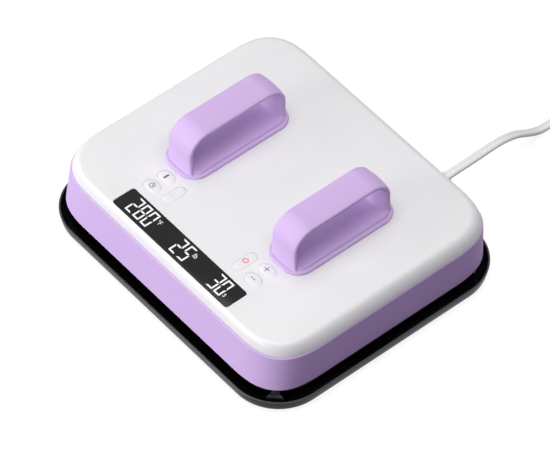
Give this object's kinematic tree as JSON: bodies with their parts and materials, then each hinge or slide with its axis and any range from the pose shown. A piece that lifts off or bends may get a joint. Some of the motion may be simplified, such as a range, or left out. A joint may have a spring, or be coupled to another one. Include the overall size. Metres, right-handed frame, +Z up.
{
  "type": "handheld heat press",
  "caption": "Flat heat press with loop handles, side band, display and push buttons, parked in its stand tray with a mains cord.",
  "frame": {"origin": "middle of the stand tray's footprint, on the surface it stands on", "axes": "+X along the display, +Y to the back where the cord leaves, +Z up"},
  "size_m": [0.3661, 0.553, 0.1275],
  "materials": {
    "white_cover": "satin moulded ABS",
    "white_button": "satin moulded",
    "lilac_shell": "satin moulded ABS",
    "black_frame": "moulded, heat resistant",
    "black_tray": "gloss moulded",
    "dark_window": "smoked acrylic",
    "rubber_foot": "moulded",
    "silicone_mat": "silicone",
    "plate_metal": "cast, coated face",
    "sheet_steel": "zinc plated",
    "screw_steel": "zinc plated",
    "insulation": "ceramic fibre",
    "board_green": "fibreglass board",
    "part_dark": "moulded",
    "cord_white": "PVC",
    "pin_brass": "nickel over brass"
  },
  "bodies": {
    "tray": {"base_tray": "black_tray", "tray_feet": "rubber_foot", "tray_mat": "silicone_mat", "cord_coil": "cord_white", "plug_body": "cord_white", "plug_pins": "pin_brass"},
    "press": {"lower_skirt": "black_frame", "side_band": "lilac_shell", "top_cover": "white_cover", "handle_left": "lilac_shell", "handle_right": "lilac_shell", "handle_backing": "sheet_steel", "handle_screws": "screw_steel", "display_window": "dark_window", "display_module": "part_dark", "control_board": "board_green", "tact_switches": "part_dark", "buzzer": "part_dark", "board_screws": "screw_steel", "heating_plate": "plate_metal", "heating_element": "sheet_steel", "insulation_blanket": "insulation", "heat_shield": "sheet_steel", "plate_standoffs": "screw_steel", "load_cells": "plate_metal", "chassis_plate": "sheet_steel", "housing_screws": "screw_steel", "power_board": "board_green", "board_standoffs": "part_dark", "relay": "part_dark", "transformer": "part_dark", "heat_sink": "plate_metal", "capacitor": "part_dark", "terminal_block": "part_dark", "cable_clamp": "part_dark", "thermostat": "part_dark", "temperature_sensor": "screw_steel", "thermal_fuse": "part_dark", "strain_relief": "cord_white", "power_cord": "cord_white"},
    "button_power": {"button_power": "white_button"},
    "button_timer": {"button_timer": "white_button"},
    "button_mode": {"button_mode": "white_button"},
    "button_pressure": {"button_pressure": "white_button"},
    "button_plus": {"button_plus": "white_button"},
    "button_minus": {"button_minus": "white_button"}
  },
  "joints": [
    {"name": "press_lift", "type": "slide", "parent": "tray", "child": "press", "axis": [0, 0, 1], "range_m": [0, 0.06]},
    {"name": "button_power_push", "type": "slide", "parent": "press", "child": "button_power", "axis": [0, 0, -1], "range_m": [0, 0.0008], "stiffness_N_per_m": 1500, "springref_m": -0.0003},
    {"name": "button_timer_push", "type": "slide", "parent": "press", "child": "button_timer", "axis": [0, 0, -1], "range_m": [0, 0.0008], "stiffness_N_per_m": 1500, "springref_m": -0.0003},
    {"name": "button_mode_push", "type": "slide", "parent": "press", "child": "button_mode", "axis": [0, 0, -1], "range_m": [0, 0.0008], "stiffness_N_per_m": 1500, "springref_m": -0.0003},
    {"name": "button_pressure_push", "type": "slide", "parent": "press", "child": "button_pressure", "axis": [0, 0, -1], "range_m": [0, 0.0008], "stiffness_N_per_m": 1500, "springref_m": -0.0003},
    {"name": "button_plus_push", "type": "slide", "parent": "press", "child": "button_plus", "axis": [0, 0, -1], "range_m": [0, 0.0008], "stiffness_N_per_m": 1500, "springref_m": -0.0003},
    {"name": "button_minus_push", "type": "slide", "parent": "press", "child": "button_minus", "axis": [0, 0, -1], "range_m": [0, 0.0008], "stiffness_N_per_m": 1500, "springref_m": -0.0003}
  ]
}
